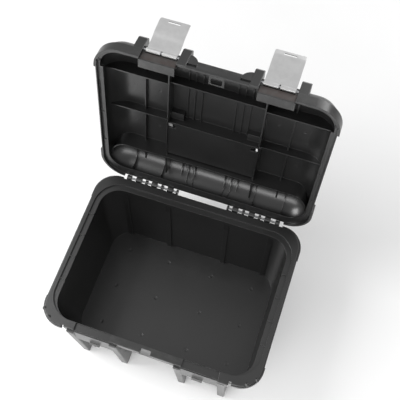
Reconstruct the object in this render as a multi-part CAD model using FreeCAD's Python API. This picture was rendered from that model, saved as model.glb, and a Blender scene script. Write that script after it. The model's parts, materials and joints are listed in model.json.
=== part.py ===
"""A moulded toolbox: a deep tub, a domed lid on two rear hinges, two sheet-metal latches and a carry handle.

Frame: millimetres, +Z up, +X to the right and +Y to the back as the owner faces the latches.
The origin is the middle of the tub's foot on the floor. The lid is drawn shut and then swung open.
"""

import FreeCAD, Part
import math
import os

V = FreeCAD.Vector

# ---------------------------------------------------------------- overall
RIM_WIDTH = 427.0        # tub rim, left to right
RIM_FRONT = -158.0       # front edge of the rim between the ribs
RIM_BACK = 165.0         # rear edge of the rim
TUB_HEIGHT = 199.0       # floor to the top of the rim
LID_RISE = 49.5          # top of the lid above the rim
OPEN_ANGLE = 100.3       # from shut to the open stop
LID_GAP = 0.5            # between rim and lid when shut

# ---------------------------------------------------------------- tub
WALL = 3.0
RIM_BAND = 14.0          # depth of the rim's skirt
RIM_SHELF = 20.5         # rim's edge to the tub's mouth
REBATE = 2.9             # step in the rim's outer edge, where the lid's skirt sits
REBATE_DEPTH = 5.2
EDGE_ROUND = 1.2         # rounding of moulded edges
LEDGE_DROP = 4.0         # the inner ledge below the rim
LEDGE_SIDE = 10.5        # width of the inner ledge at the sides and back
LEDGE_TICKS = 4          # small stays across each side ledge
LEDGE_TICK_PITCH = 47.5
LEDGE_TICK_START = -74.0
MOUTH_CORNER = 40.0
MOUTH_FRONT_SHELF = 13.2
MOUTH_BACK_SHELF = 28.0
SIDE_DRAFT = 9.0         # how far each wall leans in by the floor
FRONT_DRAFT = 23.0
BACK_DRAFT = 11.0
FLOOR_EDGE = 6.0         # rounding round the floor
BUMPER_PROUD = 1.5
BUMPER_FRONT_END = -112.0
BUMPER_BACK_START = 107.0
PIP_R = 4.0
PIP_RISE = 1.6
PIP_SIDE = (6.5, 20.2)   # from the rim's side and front edges
PIP_FRONT = (21.5, 7.0)

TAB_HALF = 70.0          # the centre tab between the latches
TAB_PROUD = 7.0          # in front of the rim
TAB_SKIRT = 11.0
PADLOCK_WIDTH = 20.0
PADLOCK_DEPTH = 11.0
PADLOCK_INSET = 8.5      # hole's middle behind the tab's front edge

CATCH_DROP = 4.5         # the rim is lower behind each latch
CATCH_PROUD = 3.6
CATCH_STEP = 3.0
CATCH_BELOW = 13.0       # the catch plate runs on below its tooth

FLOOR_RIB_WIDTH = 14.5   # ribs that run down to the floor under the lid's ears
FLOOR_RIB_DROP = 9.0
FLOOR_RIB_LEAN = 13.0    # each rib's front leans back by this at its foot
FLOOR_RIB_EDGE = 2.5
SIDE_BLOCK_EDGE = 160.0  # raised block of the rim outside the outer ribs
SIDE_NOTCH = 5.0         # see-through notch beside the block

GUSSET_PITCH = 44.0      # stays between the rim's skirt and the walls
GUSSET_T = 2.4
GUSSET_DEPTH = 26.0

# ---------------------------------------------------------------- hinge
HINGE_BEHIND = 3.8       # axis behind the rim's rear edge
HINGE_DROP = 5.8         # axis below the rim
PIN_R = 2.0
PIN_CLEARANCE = 0.08
KNUCKLE_WALL = 3.4
HINGE_INNER = 51.5
HINGE_OUTER = 160.5
HINGE_SETBACK = 4.0      # the rim's rear edge steps in along the hinges
HINGE_NOTCH = 7.0        # the notch runs on past the outer knuckles
TUB_KNUCKLES = ((4.5, 9.0), (41.5, 5.0), (75.0, 5.0), (107.0, 4.0))   # place along the pin, width
LID_KNUCKLES = ((25.0, 12.0), (58.0, 12.0), (92.0, 12.0))
KNUCKLE_PLAY = 0.8       # rim's fill to the lid's knuckles
FILL_REACH = 3.0         # the rim is filled out beside the tub's knuckles

# ---------------------------------------------------------------- lid
LID_INSET = 0.5          # lid's side inside the rim's, each side
LID_OVERHANG = 13.0      # the front stands proud of the rim, to lift it by
LID_BEHIND = 3.0
LID_WALL = 3.5
LID_CORNER = 46.0        # plan radius of the lid's corners
DOME_R = 44.0
SKIRT_T = 2.0
SKIRT_DROP = 4.5         # skirt below the rim
FRONT_EDGE_RISE = 4.0    # front lip's lower edge above the rim
FLANGE = 3.0             # thickness of the inner flange
FLANGE_SIDE = 12.0       # width of the inner flange
FLANGE_BACK = 20.0
FLANGE_GROOVE = 1.0
GROOVE_RUNS = ((-85.0, -6.0), (-3.0, 75.0))
LIP_WIDTH = 7.0          # the flange narrows to a lip round the front corners
LID_BUMPER = 3.2
LID_BUMPER_RISE = 16.0
LID_BUMPER_FRONT_END = -122.0
LID_BUMPER_BACK_START = 103.0
CENTRE_LIP_PROUD = 3.4

EAR_TOP_DROP = 1.5       # below the lid's top
EAR_PROUD = 3.0
EAR_LENGTH = 38.0
EAR_INNER = (54.5, 70.6)
EAR_OUTER = (133.5, 150.5)
FAIRING_R = 20.0
FAIRING_BASE = 13.0

RIB_T = 2.6
FRONT_RIB = (-101.5, 21.0)    # place, lower edge above the rim
FRONT_RIB_ARCH = 6.0     # it is shallower between the inner long ribs
MIDDLE_RIB = (0.0, 28.0)
REAR_RIB = (91.0, 12.0)
REAR_RIB_BEND = 33.0
LONG_RIBS = ((138.0, 38.0), (87.3, 19.0))
FINE_RIBS = (31.6, 45.0, 58.0)
FINE_RIB_T = 2.2
FINE_RIB_DEPTH = 3.0
REAR_FINE_DEPTH = 9.0

# ---------------------------------------------------------------- latch
PIVOT_BEHIND = 1.0       # latch axis behind the lid's front edge
PIVOT_RISE = 20.0        # latch axis above the rim
LATCH_INNER = 74.5
LATCH_OUTER = 128.8
LATCH_LENGTH = 71.0
LATCH_T = 1.6
LATCH_ANGLE = 172.8      # from thrown back to shut
BARREL_WALL = 2.0
NOTCH_WIDTH = 3.0
SLOT_WIDTH = 22.0
SLOT_HEIGHT = 4.0
SLOT_TO_TIP = 7.0
TOOTH_PLAY = 0.7         # slot to tooth, all round
TOOTH_REACH = 5.4        # tooth in front of the catch plate
TOOTH_TIP = 0.9          # flat front of the tooth, below its ramp
TOOTH_RAMP = 2.0         # the ramp starts this far out, above the slot
TOOTH_RAMP_RISE = 7.0
RECESS_DEPTH = 6.0       # lid's wall behind the latch, from its front edge
RECESS_WALL = 3.0
MOUNT_T = 3.0
MOUNT_PLAY = 0.5

# ---------------------------------------------------------------- handle
POCKET_HALF = 86.0
POCKET_FRONT = -1.0
POCKET_BACK = 84.0
POCKET_DEPTH = 25.0      # from the lid's top
POCKET_WALL = 2.6
POCKET_NICHE = 73.0      # the pocket's floor is open beside each pivot
PIVOT_HOUSING = (61.0, 86.0)
HOUSING_LENGTH = 17.0
HOUSING_DEPTH = 12.0
NICHE_BACK = 10.0
HANDLE_HALF = 81.0
HANDLE_REACH = 66.0
HANDLE_FLOOR_GAP = 2.0   # folded handle above the pocket's floor
ARM_WIDTH = 10.0
ARM_DEPTH = 10.0
ARM_STOP_GAP = 0.3       # raised handle to the pocket's front wall
BAR_WIDTH = 19.0
BAR_DEPTH = 11.0
GRIP_HALF = 46.0
GRIP_SKIN = 1.6
HANDLE_PIN_R = 2.5
PIN_HEAD_R = 4.6
PIN_HEAD = 4.0
HANDLE_OUT = OPEN_ANGLE - 90.0   # it hangs plumb from the open lid

FAR = 400.0              # past every part, for cutting blocks

# ---------------------------------------------------------------- worked out
RIM_HALF = RIM_WIDTH / 2.0
RIM_CORNER = LID_CORNER - 2.0 * SKIRT_T
RIM_BASE = TUB_HEIGHT - RIM_BAND
REBATE_Z = TUB_HEIGHT - REBATE_DEPTH
MOUTH_HALF = RIM_HALF - RIM_SHELF
MOUTH_FRONT = RIM_FRONT + MOUTH_FRONT_SHELF
MOUTH_BACK = RIM_BACK - MOUTH_BACK_SHELF
TAB_FRONT = RIM_FRONT - TAB_PROUD
PADLOCK_Y = TAB_FRONT + PADLOCK_INSET
HINGE_Y = RIM_BACK + HINGE_BEHIND
HINGE_EDGE = RIM_BACK - HINGE_SETBACK
NOTCH_HALF = HINGE_OUTER + HINGE_NOTCH
AXIS_Z = TUB_HEIGHT - HINGE_DROP
KNUCKLE_R = PIN_R + KNUCKLE_WALL
LID_HALF = RIM_HALF - LID_INSET
LID_FRONT = RIM_FRONT - LID_OVERHANG
LID_BACK = RIM_BACK + LID_BEHIND
LID_TOP = TUB_HEIGHT + LID_RISE
LID_BASE = TUB_HEIGHT + LID_GAP
SKIRT_BASE = TUB_HEIGHT - SKIRT_DROP
FRONT_EDGE_Z = TUB_HEIGHT + FRONT_EDGE_RISE
PANEL_Z = LID_TOP - LID_WALL
FLANGE_HALF = LID_HALF - FLANGE_SIDE
FLANGE_REAR = LID_BACK - FLANGE_BACK
EAR_FRONT = LID_FRONT - EAR_PROUD
EAR_BACK = EAR_FRONT + EAR_LENGTH
PIVOT_Y = LID_FRONT + PIVOT_BEHIND
PIVOT_Z = TUB_HEIGHT + PIVOT_RISE
BARREL_R = PIN_R + BARREL_WALL
RECESS_Y = LID_FRONT + RECESS_DEPTH
LATCH_MIDDLE = (LATCH_INNER + LATCH_OUTER) / 2.0
SLOT_AT = LATCH_LENGTH - SLOT_TO_TIP
TOOTH_Z = PIVOT_Z - SLOT_AT
CATCH_TOP = TUB_HEIGHT - CATCH_DROP
CATCH_FRONT = RIM_FRONT - CATCH_PROUD
CATCH_OUTER = (EAR_OUTER[0] + EAR_OUTER[1]) / 2.0 - 2.0
FOOT_Z = CATCH_TOP + LID_GAP
FLOOR_RIBS = ((EAR_INNER[0] + EAR_INNER[1]) / 2.0, (EAR_OUTER[0] + EAR_OUTER[1]) / 2.0 + 5.0)
POCKET_FLOOR = LID_TOP - POCKET_DEPTH
HANDLE_Y = POCKET_FRONT + ARM_DEPTH / 2.0 + ARM_STOP_GAP
HANDLE_Z = POCKET_FLOOR + HANDLE_FLOOR_GAP + ARM_DEPTH / 2.0


def box(x0, x1, y0, y1, z0, z1):
    return Part.makeBox(x1 - x0, y1 - y0, z1 - z0, V(x0, y0, z0))


def cylinder_x(x0, x1, y, z, r):
    return Part.makeCylinder(r, x1 - x0, V(x0, y, z), V(1, 0, 0))


def rounded_wire(half, front, back, z, r):
    """A closed rounded rectangle, symmetric about x = 0."""
    c = r * (1.0 - math.sqrt(0.5))
    line, arc = Part.LineSegment, Part.Arc
    edges = [
        line(V(-half + r, front, z), V(half - r, front, z)),
        arc(V(half - r, front, z), V(half - c, front + c, z), V(half, front + r, z)),
        line(V(half, front + r, z), V(half, back - r, z)),
        arc(V(half, back - r, z), V(half - c, back - c, z), V(half - r, back, z)),
        line(V(half - r, back, z), V(-half + r, back, z)),
        arc(V(-half + r, back, z), V(-half + c, back - c, z), V(-half, back - r, z)),
        line(V(-half, back - r, z), V(-half, front + r, z)),
        arc(V(-half, front + r, z), V(-half + c, front + c, z), V(-half + r, front, z)),
    ]
    return Part.Wire([e.toShape() for e in edges])


def slab(half, front, back, z0, z1, r):
    face = Part.Face(rounded_wire(half, front, back, z0, r))
    return face.extrude(V(0, 0, z1 - z0))


def level_loop(shape, z):
    return [e for e in shape.Edges if all(abs(v.Z - z) < 1e-4 for v in e.Vertexes)]


def rounded_box(x0, x1, y0, y1, z0, z1, r):
    """A block with its top and upright edges rounded."""
    solid = box(x0, x1, y0, y1, z0, z1)
    edges = [e for e in solid.Edges if e.BoundBox.ZMax > z0 + r]
    return solid.makeFillet(r, edges)


def extrude_profile(points, x0, x1):
    """A solid from a closed outline of (y, z) points, extruded along X."""
    outline = [V(x0, y, z) for y, z in points]
    face = Part.Face(Part.makePolygon(outline + [outline[0]]))
    return face.extrude(V(x1 - x0, 0, 0))


def both_sides(shapes):
    """The right-hand shapes and their mirror images on the left."""
    return shapes + [s.mirror(V(0, 0, 0), V(1, 0, 0)) for s in shapes]


def fuse(shapes):
    return shapes[0].multiFuse(shapes[1:]).removeSplitter()


def cut(shape, tools):
    for tool in tools:
        shape = shape.cut(tool)
    return shape


# ================================================================ tub
def cavity(inset, z_low):
    """The tapered space inside the tub, grown outwards by -inset."""
    low = rounded_wire(
        MOUTH_HALF - SIDE_DRAFT - inset,
        MOUTH_FRONT + FRONT_DRAFT + inset,
        MOUTH_BACK - BACK_DRAFT - inset,
        z_low,
        MOUTH_CORNER - inset,
    )
    high = rounded_wire(
        MOUTH_HALF - inset, MOUTH_FRONT + inset, MOUTH_BACK - inset, TUB_HEIGHT, MOUTH_CORNER - inset
    )
    return Part.makeLoft([low, high], True, True)


def tub_shell():
    """The outside of the walls and floor, rounded round the floor."""
    solid = cavity(-WALL, 0.0)
    return solid.makeFillet(FLOOR_EDGE, level_loop(solid, 0.0))


def rim_band():
    """The rim's flange and skirt, hollow underneath, with thicker corner bumpers."""
    front = RIM_FRONT - BUMPER_PROUD
    band = slab(RIM_HALF, front, RIM_BACK, RIM_BASE, TUB_HEIGHT, RIM_CORNER)
    bumper = slab(
        RIM_HALF + BUMPER_PROUD,
        front - 2.0,
        RIM_BACK + BUMPER_PROUD,
        RIM_BASE,
        REBATE_Z,
        RIM_CORNER + BUMPER_PROUD,
    )
    bumper = bumper.makeFillet(EDGE_ROUND, level_loop(bumper, REBATE_Z))
    sides = box(-FAR, FAR, BUMPER_FRONT_END, BUMPER_BACK_START, 0, FAR)
    front_middle = box(-SIDE_BLOCK_EDGE, SIDE_BLOCK_EDGE, -FAR, 0, 0, FAR)
    back_middle = box(-NOTCH_HALF, NOTCH_HALF, 0, FAR, 0, FAR)
    band = band.fuse(cut(bumper, [sides, front_middle, back_middle]))
    around = slab(RIM_HALF + 20.0, front - 30.0, RIM_BACK + 20.0, REBATE_Z, TUB_HEIGHT + 1.0, RIM_CORNER)
    lip = slab(RIM_HALF - REBATE, front, RIM_BACK - REBATE, REBATE_Z, TUB_HEIGHT, RIM_CORNER - REBATE)
    lip = lip.makeFillet(EDGE_ROUND, level_loop(lip, TUB_HEIGHT))
    back = RIM_BACK - WALL
    hollow = slab(RIM_HALF - WALL, front + WALL, back, RIM_BASE - 1.0, REBATE_Z - WALL, RIM_CORNER - WALL)
    return cut(band, [around.cut(lip), hollow])


def catch_recess(x0, x1):
    """Behind a latch the rim drops, and a plate carries the tooth that the latch snaps over."""
    top = CATCH_TOP - CATCH_STEP
    plate = box(x0, x1, CATCH_FRONT, CATCH_FRONT + WALL, TOOTH_Z - CATCH_BELOW, top)
    shelf = box(x0, x1, CATCH_FRONT, MOUTH_FRONT, top - WALL, top)
    half = SLOT_WIDTH / 2.0 - TOOTH_PLAY
    rise = SLOT_HEIGHT / 2.0 - TOOTH_PLAY
    tip = CATCH_FRONT - TOOTH_REACH
    root = CATCH_FRONT + 1.0
    outline = [
        (root, TOOTH_Z - rise),
        (tip, TOOTH_Z - rise),
        (tip, TOOTH_Z - rise + TOOTH_TIP),
        (CATCH_FRONT - TOOTH_RAMP, TOOTH_Z + rise),
        (CATCH_FRONT, TOOTH_Z + rise + TOOTH_RAMP_RISE),
        (root, TOOTH_Z + rise + TOOTH_RAMP_RISE),
    ]
    tooth = extrude_profile(outline, LATCH_MIDDLE - half, LATCH_MIDDLE + half)
    return plate.fuse([shelf, tooth])


def floor_rib(x):
    """A tapered rib from under the rim to the floor, which the tub also stands on."""
    top = TUB_HEIGHT - FLOOR_RIB_DROP
    outline = [
        (TAB_FRONT, top),
        (TAB_FRONT + FLOOR_RIB_LEAN, 0.0),
        (MOUTH_FRONT + FRONT_DRAFT - 1.0, 0.0),
        (MOUTH_FRONT - 1.0, top),
    ]
    rib = extrude_profile(outline, x - FLOOR_RIB_WIDTH / 2.0, x + FLOOR_RIB_WIDTH / 2.0)
    front = [e for e in rib.Edges if e.BoundBox.YMax < TAB_FRONT + FLOOR_RIB_LEAN + 1.0]
    return rib.makeFillet(FLOOR_RIB_EDGE, front)


def side_block():
    """Raised block of the rim over an outer floor rib, level with the centre tab."""
    front = TAB_FRONT + 1.0
    back = MOUTH_FRONT - 1.0
    return rounded_box(CATCH_OUTER, SIDE_BLOCK_EDGE, front, back, RIM_BASE, TUB_HEIGHT, EDGE_ROUND)


def side_notch():
    """A small gap right through, between the side block and the corner."""
    return box(SIDE_BLOCK_EDGE, SIDE_BLOCK_EDGE + SIDE_NOTCH, -FAR, RIM_FRONT + 2.0, 0, FAR)


def gusset(x):
    """A thin stay between the rear skirt and wall, drawn at the place x along the rear."""
    low = RIM_BASE - GUSSET_DEPTH
    lean = BACK_DRAFT * (TUB_HEIGHT - low) / TUB_HEIGHT
    outline = [
        (MOUTH_BACK, RIM_BASE + 2.0),
        (HINGE_EDGE - 1.0, RIM_BASE + 2.0),
        (HINGE_EDGE - 1.0, RIM_BASE),
        (MOUTH_BACK + WALL - lean, low),
        (MOUTH_BACK - lean, low),
    ]
    return extrude_profile(outline, x - GUSSET_T / 2.0, x + GUSSET_T / 2.0)


def rear_gussets():
    count = int(NOTCH_HALF / GUSSET_PITCH)
    return [gusset(i * GUSSET_PITCH) for i in range(-count, count + 1)]


def side_gusset(y):
    """The same stay at the right-hand side."""
    low = RIM_BASE - GUSSET_DEPTH
    lean = SIDE_DRAFT * (TUB_HEIGHT - low) / TUB_HEIGHT
    points = [
        V(MOUTH_HALF, y, RIM_BASE + 2.0),
        V(RIM_HALF - 1.0, y, RIM_BASE + 2.0),
        V(RIM_HALF - 1.0, y, RIM_BASE),
        V(MOUTH_HALF + WALL - lean, y, low),
        V(MOUTH_HALF - lean, y, low),
    ]
    face = Part.Face(Part.makePolygon(points + [points[0]]))
    return face.extrude(V(0, GUSSET_T, 0))


def side_gussets():
    return [side_gusset(i * GUSSET_PITCH - GUSSET_T / 2.0) for i in range(-2, 3)]


def ledge_ticks():
    """Small stays across the right-hand ledge."""
    low = TUB_HEIGHT - LEDGE_DROP - 1.0
    x1 = MOUTH_HALF + LEDGE_SIDE + 0.5
    made = []
    for i in range(LEDGE_TICKS):
        y = LEDGE_TICK_START + i * LEDGE_TICK_PITCH
        made.append(box(MOUTH_HALF - 0.4, x1, y - 1.2, y + 1.2, low, TUB_HEIGHT - 0.6))
    return made


def centre_tab():
    top = TUB_HEIGHT
    tab = rounded_box(-TAB_HALF, TAB_HALF, TAB_FRONT, MOUTH_FRONT - 0.5, top - TAB_SKIRT, top, EDGE_ROUND)
    hollow = box(-TAB_HALF + WALL, TAB_HALF - WALL, TAB_FRONT + WALL, MOUTH_FRONT - WALL,
                 TUB_HEIGHT - TAB_SKIRT - 1.0, TUB_HEIGHT - WALL)
    return tab.cut(hollow)


def pips(r, rise):
    """Two small domes on the right-hand front corner of the rim, or the room for them."""
    z = TUB_HEIGHT + rise - r
    side = V(RIM_HALF - PIP_SIDE[0], RIM_FRONT + PIP_SIDE[1], z)
    front = V(RIM_HALF - PIP_FRONT[0], RIM_FRONT + PIP_FRONT[1], z)
    return [Part.makeSphere(r, side), Part.makeSphere(r, front)]


def padlock_hole(z0, z1, y, depth):
    hole = box(-PADLOCK_WIDTH / 2.0, PADLOCK_WIDTH / 2.0, y - depth / 2.0, y + depth / 2.0, z0, z1)
    upright = [e for e in hole.Edges if e.BoundBox.ZLength > (z1 - z0) / 2.0]
    return hole.makeFillet(3.0, upright)


def knuckle(x0, x1, arm):
    barrel = cylinder_x(x0, x1, HINGE_Y, AXIS_Z, KNUCKLE_R)
    return barrel.fuse(box(x0, x1, *arm))


def hinge_row(knuckles, arm):
    """Knuckles of one hinge, at their places from its outer end."""
    made = []
    for place, width in knuckles:
        middle = HINGE_OUTER - place
        made.append(knuckle(middle - width / 2.0, middle + width / 2.0, arm))
    return made


def hinge_fills():
    """The rim is filled out towards the pin along the right-hand hinge, except at the lid's knuckles."""
    back = HINGE_EDGE + FILL_REACH
    fill = box(HINGE_INNER, HINGE_OUTER, HINGE_EDGE - 1.0, back, AXIS_Z - KNUCKLE_R, AXIS_Z + 2.0)
    rooms = []
    for place, width in LID_KNUCKLES:
        middle = HINGE_OUTER - place
        half = width / 2.0 + KNUCKLE_PLAY
        rooms.append(box(middle - half, middle + half, HINGE_EDGE, FAR, 0, FAR))
    return cut(fill, rooms).Solids


def pin_bores():
    bore = cylinder_x(HINGE_INNER - 1.0, HINGE_OUTER + 1.0, HINGE_Y, AXIS_Z, PIN_R + PIN_CLEARANCE)
    return [bore, bore.mirror(V(0, 0, 0), V(1, 0, 0))]


def rear_wall_pillars():
    """Upright pillars inside the rear wall, under the hinges."""
    made = []
    for x in (HINGE_INNER + 10.0, HINGE_OUTER - 8.0):
        outline = [
            (MOUTH_BACK - 4.0, TUB_HEIGHT - LEDGE_DROP - 28.0),
            (MOUTH_BACK + 0.8, TUB_HEIGHT - LEDGE_DROP - 1.0),
            (MOUTH_BACK - BACK_DRAFT + 1.5, WALL),
            (MOUTH_BACK - BACK_DRAFT - 4.0, WALL),
        ]
        made.append(extrude_profile(outline, x - 5.0, x + 5.0))
    return made


def make_tub():
    catches = both_sides([catch_recess(TAB_HALF - 2.0, CATCH_OUTER + 2.0)])
    ribs = both_sides([floor_rib(x) for x in FLOOR_RIBS])
    blocks = both_sides([side_block()] + side_gussets())
    notch = box(-NOTCH_HALF, NOTCH_HALF, HINGE_EDGE, FAR, 0, FAR)
    drops = both_sides([box(TAB_HALF, CATCH_OUTER, -FAR, MOUTH_FRONT - 0.2, CATCH_TOP, FAR)])
    notches = both_sides([side_notch()])
    rim = cut(rim_band(), [notch] + drops + notches)
    top = TUB_HEIGHT - EDGE_ROUND
    back_skirt = box(-NOTCH_HALF, NOTCH_HALF, HINGE_EDGE - WALL, HINGE_EDGE, RIM_BASE, top)
    tub = fuse([tub_shell(), rim, back_skirt, centre_tab()] + catches + ribs + blocks + rear_gussets())
    ledge = slab(
        MOUTH_HALF + LEDGE_SIDE,
        MOUTH_FRONT,
        MOUTH_BACK + LEDGE_SIDE,
        TUB_HEIGHT - LEDGE_DROP,
        TUB_HEIGHT + 1.0,
        MOUTH_CORNER + LEDGE_SIDE,
    )
    through = padlock_hole(TUB_HEIGHT - 50.0, TUB_HEIGHT + 50.0, PADLOCK_Y, PADLOCK_DEPTH)
    tub = cut(tub, [ledge, cavity(0.0, WALL), through])
    arm = (HINGE_EDGE - 1.0, HINGE_Y, AXIS_Z - KNUCKLE_R, AXIS_Z)
    knuckles = both_sides(hinge_row(TUB_KNUCKLES, arm) + hinge_fills())
    inside = both_sides(rear_wall_pillars() + ledge_ticks() + pips(PIP_R, PIP_RISE))
    tub = fuse([tub] + knuckles + inside)
    return cut(tub, pin_bores())


# ================================================================ lid
def dome(inset, base):
    top = LID_TOP - inset
    solid = slab(LID_HALF - inset, LID_FRONT + inset, LID_BACK - inset, base, top, LID_CORNER - inset)
    return solid.makeFillet(DOME_R - inset, level_loop(solid, top))


def ears():
    """The two upright ears beside the right-hand latch, and the quarter-round fairing on its inner side."""
    made = []
    top = LID_TOP - EAR_TOP_DROP
    for x0, x1 in (EAR_INNER, EAR_OUTER):
        outline = [
            (EAR_FRONT, FRONT_EDGE_Z),
            (EAR_FRONT, top - 7.0),
            (EAR_FRONT + 5.0, top),
            (EAR_BACK, top),
            (EAR_BACK, FRONT_EDGE_Z),
        ]
        ear = extrude_profile(outline, x0, x1)
        outside = [e for e in ear.Edges if e.BoundBox.YMax < EAR_BACK - 1.0 or e.BoundBox.ZMin > top - 0.1]
        made.append(ear.makeFillet(EDGE_ROUND, outside))
    base = TUB_HEIGHT + FAIRING_BASE
    start = V(EAR_INNER[0] + 2.0, EAR_FRONT + 1.0, base)
    fairing = Part.makeCylinder(FAIRING_R, EAR_LENGTH - 2.0, start, V(0, 1, 0))
    quarter = box(EAR_INNER[0] - FAIRING_R, EAR_INNER[0] + 2.0, -FAR, 0, base, FAR)
    made.append(fairing.common(quarter))
    return made


def lid_flange():
    """Inner flange at the sides and back, grooved, and a narrow lip round the two front corners."""
    back = LID_BACK - 1.0
    ring = slab(LID_HALF - 1.0, LID_FRONT + 1.0, back, LID_BASE, LID_BASE + FLANGE, LID_CORNER - 1.0)
    mouth = slab(FLANGE_HALF, LID_FRONT + LIP_WIDTH, FLANGE_REAR, 0, FAR, LID_CORNER - FLANGE_SIDE)
    opening = slab(LID_HALF - LIP_WIDTH, LID_FRONT + LIP_WIDTH, 0, 0, FAR, LID_CORNER - LIP_WIDTH)
    front = opening.common(box(-FAR, FAR, -FAR, LID_BUMPER_FRONT_END, 0, FAR))
    centre = box(-EAR_OUTER[0], EAR_OUTER[0], -FAR, LID_BUMPER_FRONT_END, 0, FAR)
    return cut(ring, [mouth, front, centre] + both_sides(flange_grooves()))


def flange_grooves():
    """Two long shallow grooves in the right-hand flange, end to end."""
    x0 = FLANGE_HALF + 2.5
    x1 = LID_HALF - SKIRT_T - 2.0
    top = LID_BASE + FLANGE_GROOVE
    return [box(x0, x1, y0, y1, 0, top) for y0, y1 in GROOVE_RUNS]


def lid_bumpers():
    """Thicker skirt round the four corners."""
    grown = LID_BUMPER
    top = TUB_HEIGHT + LID_BUMPER_RISE
    ring = slab(LID_HALF + grown, LID_FRONT - grown, LID_BACK + 1.2, SKIRT_BASE, top, LID_CORNER + grown)
    ring = ring.makeFillet(1.5, level_loop(ring, top))
    inside = slab(LID_HALF - 1.0, LID_FRONT + 1.0, LID_BACK - 1.0, 0, FAR, LID_CORNER - 1.0)
    sides = box(-FAR, FAR, LID_BUMPER_FRONT_END, LID_BUMPER_BACK_START, 0, FAR)
    front = box(-EAR_OUTER[0], EAR_OUTER[0], -FAR, 0, 0, FAR)
    back = box(-NOTCH_HALF, NOTCH_HALF, 0, FAR, 0, FAR)
    return cut(ring, [inside, sides, front, back]).Solids


def centre_lip():
    """The bright lip between the inner ears."""
    half = EAR_INNER[0] - FAIRING_R + 3.0
    tip = LID_FRONT - CENTRE_LIP_PROUD
    outline = [
        (tip, TUB_HEIGHT + 14.0),
        (tip, TUB_HEIGHT + 20.0),
        (LID_FRONT + 3.5, TUB_HEIGHT + 25.0),
        (LID_FRONT + 2.0, TUB_HEIGHT + 6.0),
    ]
    return extrude_profile(outline, -half, half)


def latch_foot():
    """The lid's foot between two ears, which drops into the rim's recess."""
    front = RECESS_Y - MOUNT_T
    return box(EAR_INNER[1] + 0.2, EAR_OUTER[0] + 1.0, front, front + 18.0, FOOT_Z, FOOT_Z + FLANGE)


def latch_wall():
    """Upright wall at the back of the latch recess, from the foot to the dome."""
    x0 = EAR_INNER[1]
    x1 = EAR_OUTER[0] + 1.0
    back = RECESS_Y + RECESS_WALL
    low = box(x0 + 0.2, x1, RECESS_Y, back, FOOT_Z, FRONT_EDGE_Z)
    high = box(x0 - 1.0, x1, RECESS_Y, back, FRONT_EDGE_Z, PIVOT_Z + 12.0)
    return low.fuse(high)


def inner_ribs():
    """Cross ribs, lengthwise ribs and fine ribs under the lid's panel."""
    made = []
    for y, edge in (FRONT_RIB, MIDDLE_RIB):
        made.append(box(-FAR, FAR, y - RIB_T / 2.0, y + RIB_T / 2.0, TUB_HEIGHT + edge, FAR))
    arch = LONG_RIBS[1][0]
    low = TUB_HEIGHT + FRONT_RIB[1]
    made[0] = made[0].cut(box(-arch, arch, -FAR, 0, low, low + FRONT_RIB_ARCH))
    y, edge = REAR_RIB
    straight = LONG_RIBS[0][0] + 28.0
    low = TUB_HEIGHT + edge
    made.append(box(-straight, straight, y - RIB_T / 2.0, y + RIB_T / 2.0, low, FAR))
    made += both_sides([corner_rib(straight, y, low)])
    front = RECESS_Y + RECESS_WALL
    for x, edge in LONG_RIBS:
        rib = box(x - RIB_T / 2.0, x + RIB_T / 2.0, front, FLANGE_REAR + 2.0, TUB_HEIGHT + edge, FAR)
        made += [rib, rib.mirror(V(0, 0, 0), V(1, 0, 0))]
    for x in FINE_RIBS:
        x0 = x - FINE_RIB_T / 2.0
        x1 = x + FINE_RIB_T / 2.0
        fine = box(x0, x1, front, POCKET_FRONT, PANEL_Z - FINE_RIB_DEPTH, FAR)
        rear = box(x0, x1, POCKET_BACK, FLANGE_REAR + 2.0, LID_BASE + 8.0, FAR)
        hollow = dome(LID_WALL + REAR_FINE_DEPTH, SKIRT_BASE)
        made += both_sides([fine, rear.cut(hollow)])
    inside = dome(LID_WALL - 0.5, SKIRT_BASE)
    half = POCKET_HALF + POCKET_WALL / 2.0
    clear = box(-half, half, POCKET_FRONT, POCKET_BACK + 2.0, 0, FAR)
    return [rib.cut(clear).common(inside) for rib in made]


def corner_rib(x, y, low):
    """The rear rib bends round the right-hand corner towards the hinge."""
    centre = V(x, y + REAR_RIB_BEND, low)
    outer = Part.makeCylinder(REAR_RIB_BEND + RIB_T / 2.0, FAR, centre)
    inner = Part.makeCylinder(REAR_RIB_BEND - RIB_T / 2.0, FAR, centre)
    quarter = box(x - 0.5, FAR, -FAR, y + REAR_RIB_BEND, 0, FAR)
    return outer.cut(inner).common(quarter)


def pocket_box():
    return box(-POCKET_HALF - POCKET_WALL, POCKET_HALF + POCKET_WALL, POCKET_FRONT - POCKET_WALL,
               POCKET_BACK + POCKET_WALL, POCKET_FLOOR - POCKET_WALL, PANEL_Z + 1.0)


def pivot_housings():
    """Blocks in front of the pocket that back the handle's pivots."""
    x0, x1 = PIVOT_HOUSING
    back = POCKET_FRONT - POCKET_WALL / 2.0
    return both_sides([box(x0, x1, back - HOUSING_LENGTH, back, PANEL_Z - HOUSING_DEPTH, PANEL_Z + 1.0)])


def pocket_void():
    """The pocket's space, and a niche through its floor beside each pivot."""
    space = box(-POCKET_HALF, POCKET_HALF, POCKET_FRONT, POCKET_BACK, POCKET_FLOOR, FAR)
    niche = box(POCKET_NICHE, POCKET_HALF, POCKET_FRONT, NICHE_BACK, TUB_HEIGHT, POCKET_FLOOR + 1.0)
    return space.fuse(both_sides([niche]))


def latch_bores():
    bore = cylinder_x(EAR_INNER[1] - 9.0, EAR_OUTER[0] + 9.0, PIVOT_Y, PIVOT_Z, PIN_R + PIN_CLEARANCE)
    return [bore, bore.mirror(V(0, 0, 0), V(1, 0, 0))]


def latch_room():
    """Room between the ears for the latch's barrel and for the plate to swing."""
    return box(EAR_INNER[1], EAR_OUTER[0], -FAR, RECESS_Y, 0, FAR)


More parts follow.
